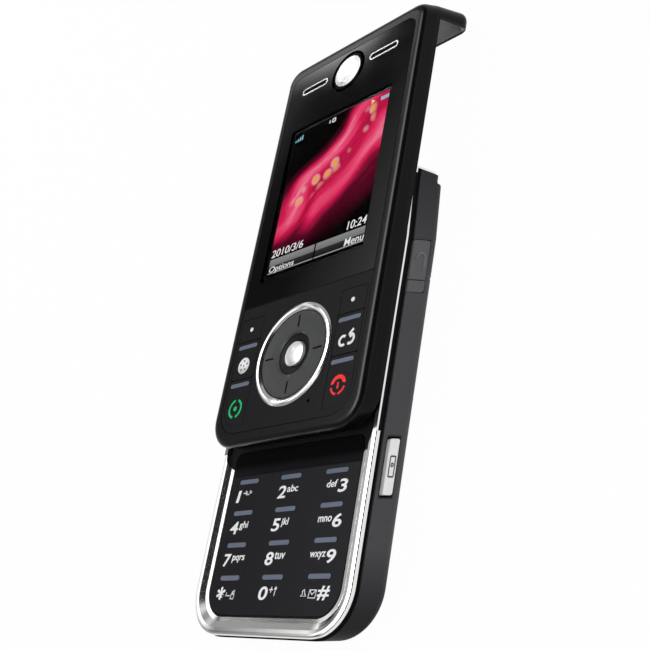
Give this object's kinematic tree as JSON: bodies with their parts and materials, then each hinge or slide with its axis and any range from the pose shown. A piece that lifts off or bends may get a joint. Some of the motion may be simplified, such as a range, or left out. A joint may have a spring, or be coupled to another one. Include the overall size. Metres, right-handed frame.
{
  "type": "slider phone",
  "caption": "Pocket telephone in two sliding halves: screen half with navigation wheel over a keypad half with rail, keys, side controls and back covers.",
  "frame": {"origin": "middle of the keypad half's flat back face", "axes": "+X to the right as one looks at the screen, +Y towards the earpiece, +Z out of the screen; the phone stands open"},
  "size_m": [0.046, 0.136, 0.0168],
  "materials": {
    "gloss_black": "gloss",
    "satin_charcoal": "satin",
    "black_plastic": "matt",
    "chrome_trim": "polished",
    "silver_plastic": "satin silver paint",
    "keypad_film": "satin",
    "nav_film": "satin",
    "lens_clear": "clear, printed black at the back",
    "display_glass": "clear",
    "circuit_board": "solder mask",
    "steel_sheet": "rolled",
    "dome_steel": "rolled",
    "soft_elastomer": "matt",
    "battery_wrap": "satin film",
    "flex_amber": "polyimide film"
  },
  "bodies": {
    "base": {"rear_housing": "satin_charcoal", "mid_frame": "black_plastic", "chrome_frame": "chrome_trim", "keypad_panel": "keypad_film", "key_domes": "dome_steel", "main_board": "circuit_board", "shield_cans": "steel_sheet", "antenna": "black_plastic", "vibration_motor": "steel_sheet", "loudspeaker": "black_plastic", "camera_module": "black_plastic", "camera_lens": "lens_clear", "usb_connector": "steel_sheet", "sim_holder": "steel_sheet", "battery": "battery_wrap", "rear_top_cover": "satin_charcoal", "port_hinge_tab": "soft_elastomer", "housing_screws": "steel_sheet", "carriage_plate": "steel_sheet", "slide_springs": "dome_steel", "slide_flex": "flex_amber"},
    "slider": {"slider_front": "gloss_black", "slider_rear": "satin_charcoal", "display_lens": "lens_clear", "lcd_module": "display_glass", "nav_plate": "nav_film", "nav_ring": "chrome_trim", "earpiece_speaker": "black_plastic", "earpiece_slots": "chrome_trim", "badge_disc": "chrome_trim", "slider_board": "circuit_board", "nav_domes": "dome_steel", "microphone": "steel_sheet", "rail_plate": "steel_sheet", "rail_rivets": "steel_sheet"},
    "key_1": {"key_1": "keypad_film"},
    "key_2": {"key_2": "keypad_film"},
    "key_3": {"key_3": "keypad_film"},
    "key_4": {"key_4": "keypad_film"},
    "key_5": {"key_5": "keypad_film"},
    "key_6": {"key_6": "keypad_film"},
    "key_7": {"key_7": "keypad_film"},
    "key_8": {"key_8": "keypad_film"},
    "key_9": {"key_9": "keypad_film"},
    "key_star": {"key_star": "keypad_film"},
    "key_0": {"key_0": "keypad_film"},
    "key_hash": {"key_hash": "keypad_film"},
    "key_soft_left": {"key_soft_left": "nav_film"},
    "key_soft_right": {"key_soft_right": "nav_film"},
    "key_media": {"key_media": "nav_film"},
    "key_back": {"key_back": "nav_film"},
    "key_call": {"key_call": "nav_film"},
    "key_end": {"key_end": "nav_film"},
    "side_key": {"side_key": "silver_plastic"},
    "volume_rocker": {"volume_rocker": "silver_plastic"},
    "port_cover": {"port_cover": "soft_elastomer"},
    "battery_cover": {"battery_cover": "satin_charcoal"},
    "nav_rocker": {"nav_rocker": "soft_elastomer"},
    "nav_wheel": {"nav_wheel": "nav_film"},
    "select_button": {"select_button": "silver_plastic"}
  },
  "joints": [
    {"name": "main_slide", "type": "slide", "parent": "base", "child": "slider", "axis": [0, -1, 0], "range_m": [0, 0.0382], "deforming": ["slide_springs", "slide_flex"]},
    {"name": "key_1_press", "type": "slide", "parent": "base", "child": "key_1", "axis": [0, 0, -1], "range_m": [0, 0.00025], "stiffness_N_per_m": 400},
    {"name": "key_2_press", "type": "slide", "parent": "base", "child": "key_2", "axis": [0, 0, -1], "range_m": [0, 0.00025], "stiffness_N_per_m": 400},
    {"name": "key_3_press", "type": "slide", "parent": "base", "child": "key_3", "axis": [0, 0, -1], "range_m": [0, 0.00025], "stiffness_N_per_m": 400},
    {"name": "key_4_press", "type": "slide", "parent": "base", "child": "key_4", "axis": [0, 0, -1], "range_m": [0, 0.00025], "stiffness_N_per_m": 400},
    {"name": "key_5_press", "type": "slide", "parent": "base", "child": "key_5", "axis": [0, 0, -1], "range_m": [0, 0.00025], "stiffness_N_per_m": 400},
    {"name": "key_6_press", "type": "slide", "parent": "base", "child": "key_6", "axis": [0, 0, -1], "range_m": [0, 0.00025], "stiffness_N_per_m": 400},
    {"name": "key_7_press", "type": "slide", "parent": "base", "child": "key_7", "axis": [0, 0, -1], "range_m": [0, 0.00025], "stiffness_N_per_m": 400},
    {"name": "key_8_press", "type": "slide", "parent": "base", "child": "key_8", "axis": [0, 0, -1], "range_m": [0, 0.00025], "stiffness_N_per_m": 400},
    {"name": "key_9_press", "type": "slide", "parent": "base", "child": "key_9", "axis": [0, 0, -1], "range_m": [0, 0.00025], "stiffness_N_per_m": 400},
    {"name": "key_star_press", "type": "slide", "parent": "base", "child": "key_star", "axis": [0, 0, -1], "range_m": [0, 0.00025], "stiffness_N_per_m": 400},
    {"name": "key_0_press", "type": "slide", "parent": "base", "child": "key_0", "axis": [0, 0, -1], "range_m": [0, 0.00025], "stiffness_N_per_m": 400},
    {"name": "key_hash_press", "type": "slide", "parent": "base", "child": "key_hash", "axis": [0, 0, -1], "range_m": [0, 0.00025], "stiffness_N_per_m": 400},
    {"name": "key_soft_left_press", "type": "slide", "parent": "slider", "child": "key_soft_left", "axis": [0, 0, -1], "range_m": [0, 0.00025], "stiffness_N_per_m": 400},
    {"name": "key_soft_right_press", "type": "slide", "parent": "slider", "child": "key_soft_right", "axis": [0, 0, -1], "range_m": [0, 0.00025], "stiffness_N_per_m": 400},
    {"name": "key_media_press", "type": "slide", "parent": "slider", "child": "key_media", "axis": [0, 0, -1], "range_m": [0, 0.00025], "stiffness_N_per_m": 400},
    {"name": "key_back_press", "type": "slide", "parent": "slider", "child": "key_back", "axis": [0, 0, -1], "range_m": [0, 0.00025], "stiffness_N_per_m": 400},
    {"name": "key_call_press", "type": "slide", "parent": "slider", "child": "key_call", "axis": [0, 0, -1], "range_m": [0, 0.00025], "stiffness_N_per_m": 400},
    {"name": "key_end_press", "type": "slide", "parent": "slider", "child": "key_end", "axis": [0, 0, -1], "range_m": [0, 0.00025], "stiffness_N_per_m": 400},
    {"name": "nav_left_right", "type": "hinge", "parent": "slider", "child": "nav_rocker", "pos_m": [0, 0.0094, 0.0145], "axis": [0, 1, 0], "range_deg": [-1.5, 1.5], "stiffness_Nm_per_rad": 0.05},
    {"name": "nav_up_down", "type": "hinge", "parent": "nav_rocker", "child": "nav_wheel", "pos_m": [0, 0.0094, 0.0145], "axis": [1, 0, 0], "range_deg": [-1.5, 1.5], "stiffness_Nm_per_rad": 0.05},
    {"name": "select_press", "type": "slide", "parent": "slider", "child": "select_button", "axis": [0, 0, -1], "range_m": [0, 0.00025], "stiffness_N_per_m": 400},
    {"name": "side_key_press", "type": "slide", "parent": "base", "child": "side_key", "axis": [-1, 0, 0], "range_m": [0, 0.0004], "stiffness_N_per_m": 400},
    {"name": "volume_rock", "type": "hinge", "parent": "base", "child": "volume_rocker", "pos_m": [-0.0221, 0.0125, 0.0053], "axis": [0, 0, 1], "range_deg": [-2.5, 2.5], "stiffness_Nm_per_rad": 0.02},
    {"name": "port_cover_flap", "type": "hinge", "parent": "base", "child": "port_cover", "pos_m": [0.02262, 0.021, 0.0057], "axis": [0, 0, -1], "range_deg": [0, 110]},
    {"name": "battery_cover_slide", "type": "slide", "parent": "base", "child": "battery_cover", "axis": [0, -1, 0], "range_m": [0, 0.06]}
  ]
}
